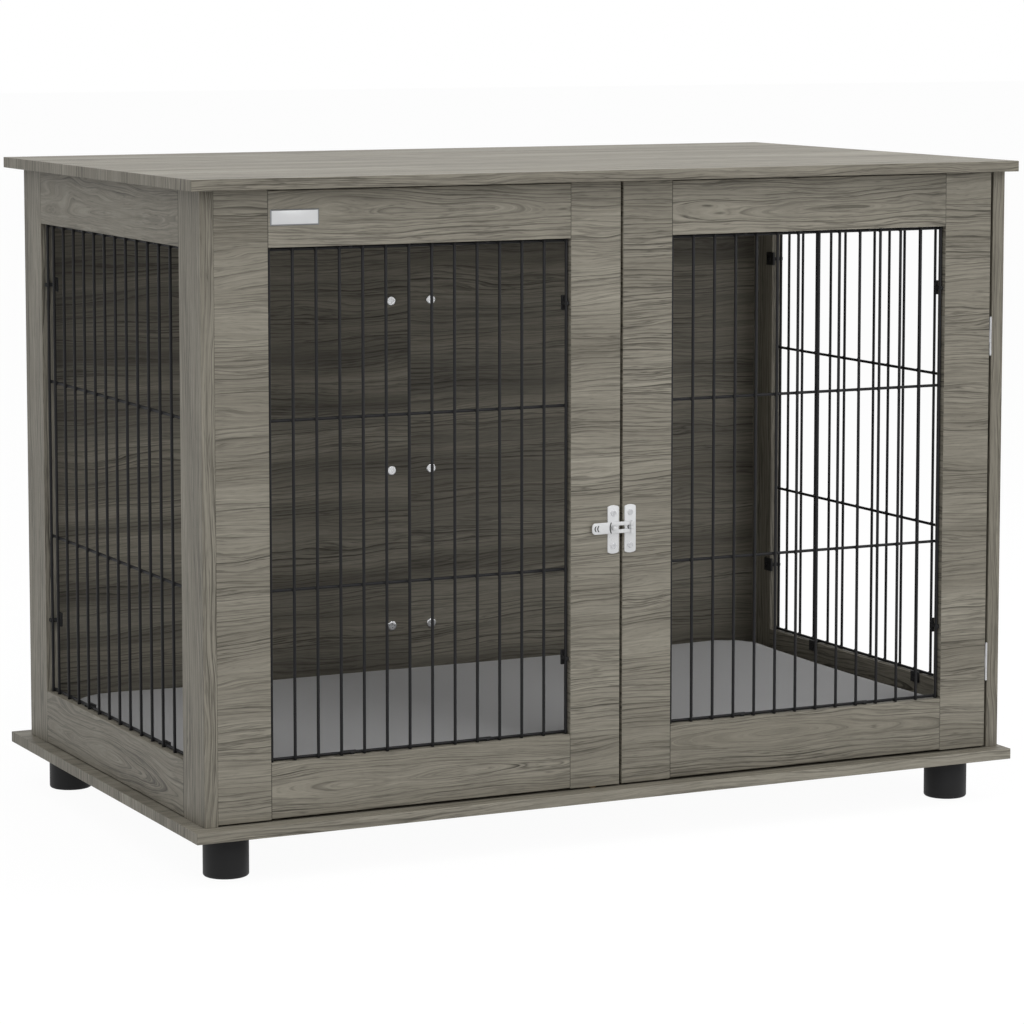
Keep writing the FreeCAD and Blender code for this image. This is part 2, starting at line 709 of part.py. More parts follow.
# ------------------------------------------------------------------ build and write
def build_table():
    build_boards()
    left, right, fixed, door = build_frames()
    build_back()
    fasten_back(left, right)
    cams, bolts = fasten_boards(left, right)
    more_cams, more_bolts, locating_dowels = fasten_fixed_frame(fixed)
    build_feet()
    hinge_pins, hinge_frame_screws, hinge_door_screws = [], [], []
    for name, height in (("lower_hinge", hinge_low), ("upper_hinge", hinge_high)):
        pin, in_frame, in_door = build_hinge(name, floor_z + height)
        hinge_pins.append(pin)
        hinge_frame_screws += in_frame
        hinge_door_screws += in_door
    build_latch()
    build_nameplate()
    build_cushion()
    pieces["hinge_pins"] = group(hinge_pins)
    pieces["hinge_frame_screws"] = group(hinge_frame_screws)
    pieces["hinge_door_screws"] = group(hinge_door_screws)
    pieces["cam_locks"] = group(cams + more_cams)
    pieces["cam_bolts"] = group(bolts + more_bolts)
    pieces["cabinet_dowels"] = group(left.dowels + right.dowels + fixed.dowels + locating_dowels)
    pieces["door_dowels"] = group(door.dowels)
    pieces["cabinet_clip_screws"] = group(left.clip_screws + right.clip_screws
                                          + fixed.clip_screws)
    pieces["door_clip_screws"] = group(door.clip_screws)


build_table()
os.makedirs("parts", exist_ok=True)
for node, shape in pieces.items():
    shape.exportStep("parts/" + node + ".step")
print(len(pieces), "pieces")
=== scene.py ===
"""Dresses the dog crate end table: grey oak foil, black wire grilles, a bright hasp
latch and a grey pad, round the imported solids. Metres, +Z up, front towards -Y."""
import math
import random
from functools import reduce

import bmesh
import bpy
from bpy.props import FloatProperty, FloatVectorProperty, IntProperty, PointerProperty
from mathutils import Matrix, Vector


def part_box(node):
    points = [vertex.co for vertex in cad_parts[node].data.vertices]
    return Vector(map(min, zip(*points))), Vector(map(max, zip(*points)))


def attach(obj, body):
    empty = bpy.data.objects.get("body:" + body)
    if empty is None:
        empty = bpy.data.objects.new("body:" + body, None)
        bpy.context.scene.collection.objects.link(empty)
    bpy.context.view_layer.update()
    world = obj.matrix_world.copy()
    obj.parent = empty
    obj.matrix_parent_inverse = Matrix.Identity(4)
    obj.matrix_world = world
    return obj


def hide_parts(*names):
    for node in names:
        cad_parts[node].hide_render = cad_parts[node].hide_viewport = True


bl_info = {
    "name": "Dog crate end table",
    "version": (1, 0, 0),
    "blender": (4, 5, 0),
    "location": "3D View > Sidebar > Crate",
    "description": "Builds the surfaces and small pieces of a dog crate end table",
    "category": "Add Mesh",
}

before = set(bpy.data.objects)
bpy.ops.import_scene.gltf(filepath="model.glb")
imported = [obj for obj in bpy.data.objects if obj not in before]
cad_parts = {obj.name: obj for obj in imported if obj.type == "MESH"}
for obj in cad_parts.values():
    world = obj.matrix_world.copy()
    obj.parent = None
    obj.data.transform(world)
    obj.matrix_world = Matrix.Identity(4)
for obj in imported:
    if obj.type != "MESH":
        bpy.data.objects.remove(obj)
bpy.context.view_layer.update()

MM = 0.001
# The four frames and the body that each belongs to.
FRAMES = {"side_left": "cabinet", "side_right": "cabinet", "front_fixed": "cabinet",
          "door": "door"}


def length(name, description, millimetres):
    return FloatProperty(name=name, description=description, default=millimetres * MM,
                         min=0.0, unit="LENGTH")


def colour(name, description, red, green, blue):
    """A colour given as it looks on a screen, from 0 to 255."""
    values = [(c / 255 / 12.92 if c < 11 else ((c / 255 + 0.055) / 1.055) ** 2.4)
              for c in (red, green, blue)]
    return FloatVectorProperty(name=name, description=description, default=values,
                               subtype="COLOR", size=3, min=0.0, max=1.0)


class CrateSizes(bpy.types.PropertyGroup):
    """Sizes of what is drawn over the solids."""
    board_edge: length("Board edge", "Rounding of the boards' and rails' edges", 0.5)
    wire_radius: length("Wire radius", "Half the thickness of a grille wire", 1.65)
    front_pitch: length("Front pitch", "About the step between the front grilles' wires", 26.5)
    side_pitch: length("Side pitch", "Step between the side grilles' wires", 33.7)
    front_margin: length("Front margin", "From a front opening's edge to its outer wire", 3.0)
    side_margin: length("Side margin", "From a side opening's edge to its outer wire", 6.2)
    cross_margin: length("Cross margin", "From an opening's edge to its outer cross wire", 2.3)
    cross_count: IntProperty(name="Cross wires", description="Cross wires in each grille",
                             default=4, min=2)
    screw_proud: length("Screw rise", "How far a flush screw's head stands proud", 0.25)
    foot_edge: length("Foot edge", "Rounding of a foot's lower edge", 2.5)
    pad_corner: length("Pad corner", "Radius of the pad's upright corners", 48.0)
    pad_swell: length("Pad swell", "The most that the stuffing pushes the cloth out", 4.5)


class CrateFinish(bpy.types.PropertyGroup):
    """Colours of the finishes."""
    wood_pale: colour("Wood, pale", "Early wood of the printed foil", 160, 155, 142)
    wood_mid: colour("Wood, middle", "The foil's main tone", 121, 116, 104)
    wood_dark: colour("Wood, dark", "Grain lines of the foil", 54, 50, 42)
    # Also the tone of the black steel clip screws and of the latch's painted shade bars.
    wire_black: colour("Wire", "Powder coat on the wires", 22, 22, 24)
    plastic_black: colour("Plastic", "Feet and clips", 33, 33, 34)
    plate_white: colour("Latch plate", "Bright latch and nameplate", 226, 227, 228)
    steel: colour("Steel", "Screws, bolts and hinges", 206, 207, 209)
    zinc: colour("Zinc", "Die-cast fittings", 150, 152, 154)
    dowel: colour("Dowel", "Bare beech", 196, 168, 128)
    cloth: colour("Cloth", "The pad's cover", 166, 166, 167)
    floor: colour("Floor", "Floor and backdrop", 255, 255, 255)


def sizes():
    return bpy.context.scene.crate_sizes


def finish():
    return bpy.context.scene.crate_finish


# ---------------------------------------------------------------- modelling by hand
def alone(*pieces):
    """Leave edit mode and select just these pieces, the first one active."""
    if bpy.context.mode != "OBJECT":
        bpy.ops.object.mode_set(mode="OBJECT")
    bpy.ops.object.select_all(action="DESELECT")
    for piece in pieces:
        piece.select_set(True)
    bpy.context.view_layer.objects.active = pieces[0]


def named(name):
    piece = bpy.context.view_layer.objects.active
    piece.name = name
    piece.data.name = name
    return piece


def settle(piece):
    """Put the piece's place, turn and size into its mesh."""
    alone(piece)
    bpy.ops.object.transform_apply(location=True, rotation=True, scale=True)
    return piece


def block(name, low, high):
    """A box between two corners, settled."""
    low, high = Vector(low), Vector(high)
    bpy.ops.mesh.primitive_cube_add(size=1.0, location=(low + high) / 2)
    piece = named(name)
    piece.scale = high - low
    return settle(piece)


def round_bar(name, start, end, radius, sides=24):
    """A cylinder between two points, settled."""
    start, end = Vector(start), Vector(end)
    bpy.ops.mesh.primitive_cylinder_add(vertices=sides, radius=radius, depth=(end - start).length)
    piece = named(name)
    piece.matrix_world = (Matrix.Translation((start + end) / 2)
                          @ (end - start).to_track_quat("Z", "Y").to_matrix().to_4x4())
    return settle(piece)


def post(name, spot, start, end, radius, sides):
    """An upright bar at a spot's x and y, between two heights."""
    return round_bar(name, (spot[0], spot[1], start), (spot[0], spot[1], end), radius, sides)


def edit(piece, mode):
    alone(piece)
    bpy.ops.object.mode_set(mode="EDIT")
    bpy.ops.mesh.select_mode(type=mode)
    bpy.ops.mesh.select_all(action="DESELECT")


def pick(piece, test):
    """In edit mode, select the faces or edges that pass a test, and say how many do."""
    shape = bmesh.from_edit_mesh(piece.data)
    faces = bpy.context.tool_settings.mesh_select_mode[2]
    hits = [item for item in (shape.faces if faces else shape.edges) if test(item)]
    for item in hits:
        item.select_set(True)
    bmesh.update_edit_mesh(piece.data)
    return len(hits)


def middle(edge):
    return (edge.verts[0].co + edge.verts[1].co) / 2


def along(edge, axis):
    way = edge.verts[1].co - edge.verts[0].co
    return abs(way[axis]) > 0.999 * way.length


def round_edges(piece, radius, test=lambda edge: True, segments=2):
    """Bevel the edges that pass a test."""
    edit(piece, "EDGE")
    if pick(piece, test):
        bpy.ops.mesh.bevel(offset=radius, segments=segments, affect="EDGES", clamp_overlap=True)
    bpy.ops.object.mode_set(mode="OBJECT")
    return piece


def sharp(angle, where=lambda spot: True):
    """A test for edges whose faces meet at more than an angle in degrees, in some places."""
    return lambda edge: (len(edge.link_faces) == 2 and edge.calc_face_angle() > math.radians(angle)
                         and where(middle(edge)))


def running(axis, where=lambda spot: True):
    """A test for edges along an axis, in some places."""
    return lambda edge: along(edge, axis) and where(middle(edge))


def smooth(piece, angle=40):
    alone(piece)
    bpy.ops.object.shade_smooth_by_angle(angle=math.radians(angle))
    return piece


def modify(piece, kind, **values):
    """Apply a modifier with these settings."""
    alone(piece)
    modifier = piece.modifiers.new(kind.lower(), kind)
    for name, value in values.items():
        setattr(modifier, name, value)
    bpy.ops.object.modifier_apply(modifier=modifier.name)


def cut(piece, *tools):
    """Cut closed pieces out of another, and delete them."""
    for tool in tools:
        modify(piece, "BOOLEAN", operation="DIFFERENCE", solver="EXACT", object=tool)
        bpy.data.objects.remove(tool)
    return piece


def divide(piece, axis, cuts):
    """Subdivide the edges along an axis."""
    edit(piece, "EDGE")
    pick(piece, running(axis))
    bpy.ops.mesh.subdivide(number_cuts=cuts)
    bpy.ops.object.mode_set(mode="OBJECT")


def sink(piece, way, rim, slope, depth):
    """Inside a rim, sink the face that looks up (1) or down (-1)."""
    edit(piece, "FACE")
    pick(piece, lambda face: face.normal.z * way > 0.99)
    bpy.ops.mesh.inset(thickness=rim, depth=0.0)
    bpy.ops.mesh.inset(thickness=slope, depth=-depth)
    bpy.ops.object.mode_set(mode="OBJECT")


def joined(name, pieces):
    alone(*pieces)
    if len(pieces) > 1:
        bpy.ops.object.join()
    return named(name)


def stamped(name, template, places):
    """Copies of a template, each with its own mesh, at the given matrices, as one piece."""
    copies = []
    for place in places:
        copy = template.copy()
        copy.data = template.data.copy()
        bpy.context.scene.collection.objects.link(copy)
        copy.matrix_world = place @ template.matrix_world
        copies.append(copy)
    alone(*copies)
    bpy.ops.object.transform_apply(location=True, rotation=True, scale=True)
    return joined(name, copies)


def scrap(*pieces):
    for piece in pieces:
        bpy.data.objects.remove(piece)


def looking(point, direction):
    """A place at a point, whose +Z looks along a direction."""
    turn = Vector(direction).to_track_quat("Z", "Y").to_matrix().to_4x4()
    return Matrix.Translation(Vector(point)) @ turn


def axes(x, y, z, origin=(0, 0, 0)):
    """A place whose own axes point these ways."""
    place = Matrix((x, y, z)).transposed().to_4x4()
    place.translation = origin
    return place


def evenly(first, last, count):
    """So many places from first to last, the same step apart."""
    return [first + i * (last - first) / (count - 1) for i in range(count)]


def corners(verts):
    """The lowest and the highest corner of some vertices."""
    return [Vector([end(vert.co[k] for vert in verts) for k in range(3)]) for end in (min, max)]


def dress(piece, material, body, *nodes):
    """Give a finished piece its material and body, and hide the solids it stands for."""
    piece.data.materials.clear()
    piece.data.materials.append(materials()[material])
    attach(piece, body)
    if nodes:
        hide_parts(*nodes)
    return piece


# ---------------------------------------------------------------- materials
class Recipe:
    """The nodes of a new material, or of the world, added one by one."""

    def __init__(self, name, world=None):
        self.owner = world or bpy.data.materials.new(name)
        self.owner.use_nodes = True
        self.tree = self.owner.node_tree
        self.shader = self.tree.nodes.get("Principled BSDF")

    def add(self, kind, **values):
        node = self.tree.nodes.new("ShaderNode" + kind)
        for name, value in values.items():
            setattr(node, name, value)
        return node

    def feed(self, sockets, *values):
        """Link each output to its socket, or set it where it is a plain value."""
        for socket, value in zip(sockets, values):
            if isinstance(value, bpy.types.NodeSocket):
                self.tree.links.new(value, socket)
            else:
                socket.default_value = value

    def surface(self, **values):
        """Feed the shader's sockets by name, such as Base_Color."""
        for name, value in values.items():
            self.feed([self.shader.inputs[name.replace("_", " ")]], value)

    def maths(self, operation, *values):
        node = self.add("Math", operation=operation)
        self.feed(node.inputs, *values)
        return node.outputs[0]

    def plus(self, one, other):
        return self.maths("ADD", one, other)

    def minus(self, one, other):
        return self.maths("SUBTRACT", one, other)

    def times(self, one, other):
        return self.maths("MULTIPLY", one, other)

    def point(self, x, y, z=0.0):
        node = self.add("CombineXYZ")
        self.feed(node.inputs, x, y, z)
        return node.outputs[0]

    def split(self, vector):
        node = self.add("SeparateXYZ")
        self.feed(node.inputs, vector)
        return node.outputs

    def place(self):
        return self.add("TexCoord").outputs["Object"]

    def noise(self, vector, scale, detail=2.0, roughness=0.5):
        node = self.add("TexNoise")
        self.feed([node.inputs[name] for name in ("Vector", "Scale", "Detail", "Roughness")],
                  vector, scale, detail, roughness)
        return node.outputs["Fac"]

    def spread(self, value, low, high, to_low=0.0, to_high=1.0):
        node = self.add("MapRange", clamp=True)
        self.feed(node.inputs, value, low, high, to_low, to_high)
        return node.outputs[0]

    def mix(self, factor, one, other):
        """Blend two colours, given as outputs or as three values."""
        node = self.add("Mix", data_type="RGBA", clamp_factor=True)
        both = [value if isinstance(value, bpy.types.NodeSocket) else (*value, 1.0)
                for value in (one, other)]
        self.feed((node.inputs[0], node.inputs[6], node.inputs[7]), factor, *both)
        return node.outputs[2]

    def show(self, rays, share, plain, bright, output):
        """One shader lights the scene, and another is what these rays see."""
        path = self.add("LightPath")
        seen = reduce(lambda one, other: self.maths("MAXIMUM", one, other),
                      [path.outputs["Is " + ray + " Ray"] for ray in rays])
        blend = self.add("MixShader")
        self.feed(blend.inputs, self.times(seen, share), plain, bright)
        self.feed(output.inputs, blend.outputs[0])

    def bump(self, height, distance, strength):
        node = self.add("Bump")
        self.feed([node.inputs[name] for name in ("Height", "Distance", "Strength")],
                  height, distance, strength)
        self.surface(Normal=node.outputs["Normal"])


def wood_foil():
    """Printed oak foil. It follows the UV map "grain": u along the grain, v across, in metres, and
    is darkened at a rail's ends, by the UV map "ends", as painted shade of the joint's groove."""
    look = finish()
    recipe = Recipe("grey_oak_foil")
    plus, minus, times, spread = recipe.plus, recipe.minus, recipe.times, recipe.spread
    u, v = recipe.split(recipe.add("UVMap", uv_map="grain").outputs[0])[:2]
    ends = recipe.split(recipe.add("UVMap", uv_map="ends").outputs[0])
    figure, streak = (recipe.add("Attribute", attribute_name=name).outputs["Fac"]
                      for name in ("figure", "streak"))

    def streaks(course, along, across, depth, detail=2.0, roughness=0.5):
        """Noise drawn out along the grain, with so many waves a metre each way."""
        return recipe.noise(recipe.point(times(u, along), times(course, across), depth),
                            1.0, detail, roughness)

    # The lines' course: they wander and ripple, and on a rail they part round a long heart.
    broad = streaks(v, 1.5, 9.0, 0.0, 3.0, 0.55)
    ripple = streaks(v, 12.0, 48.0, 4.0)
    eddy = streaks(v, 5.0, 15.0, 6.0)
    wander = plus(times(broad, 0.05), plus(times(ripple, 0.005), times(eddy, 0.02)))
    local = plus(minus(recipe.maths("FRACT", v), 0.5), times(minus(broad, 0.5), 0.05))
    away = times(minus(ends[0], ends[1]), 0.024)
    heart = recipe.maths("SQRT", plus(times(local, local), times(away, away)))
    course = plus(plus(times(figure, heart), times(minus(1.0, figure), v)), wander)
    # Each ring darkens slowly and ends sharply. Threads are thin lines between the rings.
    fray = streaks(course, 6.0, 80.0, 3.0, 3.0, 0.6)
    ring = recipe.maths("FRACT", plus(times(fray, 1.1), times(course, 160.0)))
    late = times(spread(ring, 0.66, 0.95), spread(ring, 1.0, 0.95))
    thin = streaks(course, 7.0, 260.0, 15.0, 3.0, 0.6)
    thread = spread(recipe.maths("ABSOLUTE", minus(thin, 0.5)), 0.0, 0.04, 0.75, 0.0)
    bold = spread(streaks(course, 3.5, 45.0, 11.0, 3.0, 0.6), 0.38, 0.62, 0.15, 1.0)
    line = times(recipe.maths("MAXIMUM", late, thread), bold)
    bands = spread(streaks(course, 0.8, 21.0, 8.0, 4.0, 0.62), 0.28, 0.72)
    grained = recipe.mix(line, recipe.mix(bands, look.wood_mid, look.wood_pale), look.wood_dark)
    # Fibres, pores, broad tone bands and the painted shade at a rail's joint only dim or lift that
    # colour.
    fine = streaks(course, 16.0, 520.0, 5.0, 4.0, 0.7)
    pores = spread(streaks(course, 70.0, 1300.0, 9.0, 1.0), 0.6, 0.76)
    stripes = spread(streaks(plus(v, wander), 0.5, 24.0, 21.0, 3.0, 0.55),
                     0.34, 0.66, -0.42, 0.16)
    # Painted shade: the foil darkens within a millimetre of a rail's ends, where the joint's groove
    # would be in shade.
    painted_joint_shade = recipe.maths("MINIMUM", ends[0], ends[1])
    shade = reduce(times, (spread(fine, 0.28, 0.72, 0.74, 1.22),
                           spread(pores, 0.0, 1.0, 1.0, 0.72), plus(times(stripes, streak), 1.0),
                           spread(painted_joint_shade, 0.0003, 0.0009, 0.35, 1.0)))
    toned = recipe.add("VectorMath", operation="SCALE")
    recipe.feed((toned.inputs[0], toned.inputs["Scale"]), grained, shade)
    recipe.surface(Base_Color=toned.outputs[0], Roughness=spread(fine, 0.3, 0.7, 0.6, 0.48),
                   Specular_IOR_Level=0.3)
    recipe.bump(minus(fine, times(line, 0.5)), 0.00012, 0.5)


def speckled(name, tint, rough, metal=0.0, grain=900.0, depth=0.00004, coat=0.0,
             lightness=0.12, shine=0.5):
    """A coated or moulded surface: faint mottling, uneven gloss and fine relief."""
    recipe = Recipe(name)
    fine = recipe.noise(recipe.place(), grain, 3.0, 0.6)
    broad = recipe.noise(recipe.place(), 14.0, 3.0, 0.55)
    pale = [min(1.0, c * (1 + lightness) + 0.002) for c in tint]
    dark = [c * (1 - lightness) for c in tint]
    gloss = recipe.spread(recipe.plus(fine, broad), 0.7, 1.3, rough - 0.07, rough + 0.07)
    recipe.surface(Base_Color=recipe.mix(recipe.spread(broad, 0.3, 0.7), dark, pale),
                   Roughness=gloss, Metallic=metal, Specular_IOR_Level=shine,
                   Coat_Weight=coat, Coat_Roughness=0.2)
    recipe.bump(fine, depth, 0.6)


def brushed(name, tint, rough, stretch):
    """Rolled sheet metal with fine lines along one axis."""
    recipe = Recipe(name)
    drawn = [recipe.times(c, k) for c, k in zip(recipe.split(recipe.place()), stretch)]
    lines = recipe.noise(recipe.point(*drawn), 1.0, 3.0, 0.6)
    wear = recipe.noise(recipe.place(), 60.0)
    pale = [min(1.0, c * 1.05) for c in tint]
    dark = [c * 0.88 for c in tint]
    gloss = recipe.spread(recipe.plus(lines, wear), 0.7, 1.3, rough - 0.08, rough + 0.08)
    recipe.surface(Base_Color=recipe.mix(recipe.spread(lines, 0.3, 0.7), dark, pale),
                   Roughness=gloss, Metallic=0.55)
    recipe.bump(lines, 0.00003, 0.5)


def woven(name, tint):
    """A plain weave with a thread each 0.9 mm, on the flat of the pad."""
    recipe = Recipe(name)
    plus, times = recipe.plus, recipe.times
    x, y, z = recipe.split(recipe.place())
    wobble = times(recipe.noise(recipe.place(), 35.0), 1.4)
    warp, weft = (recipe.maths("SINE", plus(wobble, times(way, 3500.0)))
                  for way in (x, plus(y, z)))
    weave = times(warp, weft)
    heather = recipe.noise(recipe.place(), 480.0, 3.0, 0.7)
    broad = recipe.noise(recipe.place(), 6.0, 3.0)
    tone = plus(recipe.spread(heather, 0.3, 0.7, -0.05, 0.05),
                recipe.spread(broad, 0.3, 0.7, -0.03, 0.03))
    pale = [min(1.0, c * 1.1) for c in tint]
    dark = [c * 0.88 for c in tint]
    share = plus(recipe.spread(weave, -1.0, 1.0, 0.4, 0.6), tone)
    recipe.surface(Base_Color=recipe.mix(share, dark, pale), Roughness=0.88, Sheen_Weight=0.25,
                   Sheen_Roughness=0.5)
    recipe.bump(plus(weave, heather), 0.00012, 0.35)


def materials():
    """The finishes, made once."""
    look = finish()
    made = bpy.data.materials
    if "grey_oak_foil" not in made:
        wood_foil()
        speckled("powder_coat", look.wire_black, 0.55, grain=1400.0, depth=0.00005, shine=0.25)
        speckled("moulded_plastic", look.plastic_black, 0.58, grain=2200.0, depth=0.00006,
                 shine=0.25)
        speckled("bright_plate_paint", look.plate_white, 0.34, 0.15, lightness=0.03, coat=0.2)
        speckled("polished_zinc", look.plate_white, 0.2, 0.9, lightness=0.02, grain=600.0,
                 depth=0.00002)
        speckled("bare_beech", look.dowel, 0.7, grain=700.0, depth=0.0001)
        # Black steel of the clip screws, and the dark bars that paint shade on the latch.
        speckled("black_steel_and_painted_shade", look.wire_black, 0.35, 0.4, lightness=0.2)
        brushed("zinc_plated_steel", look.steel, 0.3, (300.0, 300.0, 40.0))
        brushed("die_cast_zinc", look.zinc, 0.45, (120.0, 120.0, 120.0))
        woven("grey_cover_cloth", look.cloth)
    return made


# ---------------------------------------------------------------- wood
def grain_map(piece, grain, seed, butt, streak, banded):
    """UV map "grain" in metres: u along the grain, v across, as foil is wrapped. On an end
    face the grain runs the short way, unless edge banding covers it. A butted rail has its
    figure in the middle, and UV map "ends" is how far its ends are. Attribute "streak" is how
    strongly the tone bands show."""
    mesh = piece.data
    layer = mesh.uv_layers.new(name="grain")
    ends = mesh.uv_layers.new(name="ends")
    layer.active_render = True
    for name, value in (("figure", 0.0 if butt is None else 1.0), ("streak", streak)):
        values = mesh.attributes.new(name=name, type="FLOAT", domain="POINT").data
        values.foreach_set("value", [value] * len(values))
    low, high = corners(mesh.vertices)

    def extent(k):
        return high[k] - low[k]

    draw = random.Random(seed)
    shifts = []
    for facing in range(3):
        wide = max((k for k in range(3) if k not in (facing, grain)), key=extent)
        centred = draw.randint(1, 9) + 0.5 - (low[wide] + high[wide]) / 2
        shifts.append((draw.uniform(0, 9), draw.uniform(0, 9) if butt is None
                       else centred + draw.uniform(-0.008, 0.008)))
    for polygon in mesh.polygons:
        size = [abs(c) for c in polygon.normal]
        facing = size.index(max(size))
        others = sorted((k for k in range(3) if k != facing), key=extent)
        lengthwise = grain if grain in others else others[banded]
        across = [k for k in others if k != lengthwise][0]
        for loop in polygon.loop_indices:
            co = mesh.vertices[mesh.loops[loop].vertex_index].co
            layer.data[loop].uv = (co[lengthwise] + shifts[facing][0],
                                   co[across] + shifts[facing][1])
            ends.data[loop].uv = ((co[butt] - low[butt], high[butt] - co[butt])
                                  if butt is not None else (1.0, 1.0))


def timber(node, grain, body, seed, butt=None, streak=0.12, banded=False):
    """A board or rail with eased edges, in the place of its solid."""
    piece = block(node + "_foil", *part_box(node))
    round_edges(piece, sizes().board_edge)
    grain_map(piece, grain, seed, butt, streak, banded)
    dress(piece, "grey_oak_foil", body, node)


class CRATE_OT_boards(bpy.types.Operator):
    """Top and bottom boards, back panels and the strip that joins them"""
    bl_idname = "crate.boards"
    bl_label = "Boards and back"

    def execute(self, context):
        for seed, (node, axis) in enumerate((("top_board", 0), ("bottom_board", 0),
                                             ("back_left_panel", 0), ("back_right_panel", 0),
                                             ("back_joining_strip", 2)), 40):
            panel = "panel" in node
            timber(node, axis, "cabinet", seed, streak=1.0 if panel else 0.12, banded=panel)
        return {"FINISHED"}


class CRATE_OT_frames(bpy.types.Operator):
    """Stiles and rails of the four frames"""
    bl_idname = "crate.frames"
    bl_label = "Frames"

    def execute(self, context):
        seed = 100
        for name, body in FRAMES.items():
            run = 1 if name.startswith("side") else 0
            for part in ("left_stile", "right_stile", "top_rail", "bottom_rail"):
                seed += 1
                upright = part.endswith("stile")
                grain = 2 if upright and run == 1 else run
                timber(name + "_" + part, grain, body, seed, None if upright else run)
        return {"FINISHED"}


# ---------------------------------------------------------------- grilles
class Opening:
    """A frame's opening, seen from outside: x right, y inwards from the outer face, z up."""

    def __init__(self, name):
        self.name, self.body = name, FRAMES[name]
        low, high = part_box(name + "_left_stile")
        far_low, far_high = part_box(name + "_right_stile")
        self.low, self.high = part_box(name + "_bottom_rail")[1].z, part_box(name + "_top_rail")[0].z
        if name == "side_left":
            corner, right, inward = (low.x, high.y, 0), (0, -1, 0), (1, 0, 0)
            self.left, self.right = high.y - low.y, high.y - far_high.y
        elif name == "side_right":
            corner, right, inward = (high.x, low.y, 0), (0, 1, 0), (-1, 0, 0)
            self.left, self.right = high.y - low.y, far_low.y - low.y
        else:
            corner, right, inward = (low.x, low.y, 0), (1, 0, 0), (0, 1, 0)
            self.left, self.right = high.x - low.x, far_low.x - low.x
        self.thickness = min(high.x - low.x, high.y - low.y)
        self.matrix = axes(right, inward, (0, 0, 1), corner)
        if name.startswith("side"):
            # The odd gap is beside one outer wire.
            self.margin, pitch = sizes().side_margin, sizes().side_pitch
            first, last = self.left + self.margin, self.right - self.margin
            steps = int((last - first) / pitch - 0.5)
            self.uprights = [first + i * pitch for i in range(steps + 1)] + [last]
            if name == "side_left":
                self.uprights = sorted(first + last - x for x in self.uprights)
        else:
            self.margin = sizes().front_margin
            first, last = self.left + self.margin, self.right - self.margin
            self.uprights = evenly(first, last, round((last - first) / sizes().front_pitch) + 1)
        edge = sizes().cross_margin
        self.crosses = evenly(self.low + edge, self.high - edge, sizes().cross_count)


def grille(opening):
    """Upright wires, cross wires behind them and a weld bead at each crossing."""
    radius = sizes().wire_radius
    past = radius + 0.6 * MM
    mid = opening.thickness / 2
    front, back = mid - radius, mid + radius
    low, high = opening.crosses[0] - past, opening.crosses[-1] + past
    left, right = opening.uprights[0] - past, opening.uprights[-1] + past
    upright = round_bar("upright", (0, front, low), (0, front, high), radius, 16)
    cross = round_bar("cross", (left, back, 0), (right, back, 0), radius, 16)
    for wire in (upright, cross):
        round_edges(wire, 0.4 * MM, sharp(60))
    bpy.ops.mesh.primitive_ico_sphere_add(subdivisions=2, radius=1.0, location=(0, mid, 0))
    bead = named("bead")
    bead.scale = (1.5 * radius, 0.55 * radius, 1.5 * radius)
    settle(bead)
    wires = [stamped(name, template, [Matrix.Translation((x, 0, z)) for x in across for z in up])
             for name, template, across, up in (
                 ("uprights", upright, opening.uprights, [0]),
                 ("crosses", cross, [0], opening.crosses),
                 ("beads", bead, opening.uprights, opening.crosses))]
    scrap(upright, cross, bead)
    piece = joined(opening.name + "_grille", wires)
    piece.matrix_world = opening.matrix
    settle(piece)
    dress(smooth(piece, 50), "powder_coat", opening.body, opening.name + "_mesh")


class CRATE_OT_grilles(bpy.types.Operator):
    """Welded wire grilles of the four frames"""
    bl_idname = "crate.grilles"
    bl_label = "Grilles"

    def execute(self, context):
        for name in FRAMES:
            grille(Opening(name))
        return {"FINISHED"}


# ---------------------------------------------------------------- screws
def cross_recess(piece, radius, top, depth):
    """Cut a cross-shaped drive recess into a head that faces +Z."""
    arm, half = 0.55 * radius, 0.17 * radius
    cut(piece, *[block("slot", (-x, -y, top - depth), (x, y, top + depth))
                 for x, y in ((arm, half), (half, arm))])


def flat_head(radius, rise):
    """A countersunk head: its cone goes down, its rim stands proud and eases over."""
    bpy.ops.mesh.primitive_cone_add(vertices=32, radius1=0.5 * radius, radius2=radius,
                                    depth=0.5 * radius, location=(0, 0, rise - 0.25 * radius))
    head = settle(named("flat_head"))
    round_edges(head, 0.12 * radius, sharp(30, lambda spot: spot.z > rise - 0.01 * MM))
    cross_recess(head, radius, rise, 0.3 * radius)
    return smooth(head, 30)


def domed_head(radius, height):
    """A pan head that stands on the surface, with its cross."""
    head = post("domed_head", (0, 0), -0.3 * height, height, radius, 32)
    round_edges(head, 0.62 * height, sharp(60, lambda spot: spot.z > 0.9 * height), 4)
    cross_recess(head, radius, height, 0.45 * height)
    return smooth(head, 35)


def heads_at(name, template, places, material, body, *nodes):
    """A finished piece with a copy of a template at each place."""
    dress(smooth(stamped(name, template, places), 33), material, body, *nodes)


def face_of(low, high, way, level=None):
    """The middle of a box's face on one side, or at another level, looking that way."""
    axis = [abs(c) for c in way].index(1)
    point = (low + high) / 2
    point[axis] = (high if way[axis] > 0 else low)[axis] if level is None else level
    return looking(point, way)


def shells(node):
    """The corners of each loose solid of a CAD node, as (low, high) pairs."""
    shape = bmesh.new()
    shape.from_mesh(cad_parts[node].data)
    bmesh.ops.remove_doubles(shape, verts=shape.verts, dist=1e-6)
    left, found = set(shape.verts), []
    while left:
        reach = [left.pop()]
        island = list(reach)
        while reach:
            for edge in reach.pop().link_edges:
                for vert in edge.verts:
                    if vert in left:
                        left.remove(vert)
                        reach.append(vert)
                        island.append(vert)
        found.append(corners(island))
    shape.free()
    return sorted(found, key=lambda pair: tuple(round(c, 4) for c in (pair[0] + pair[1])))


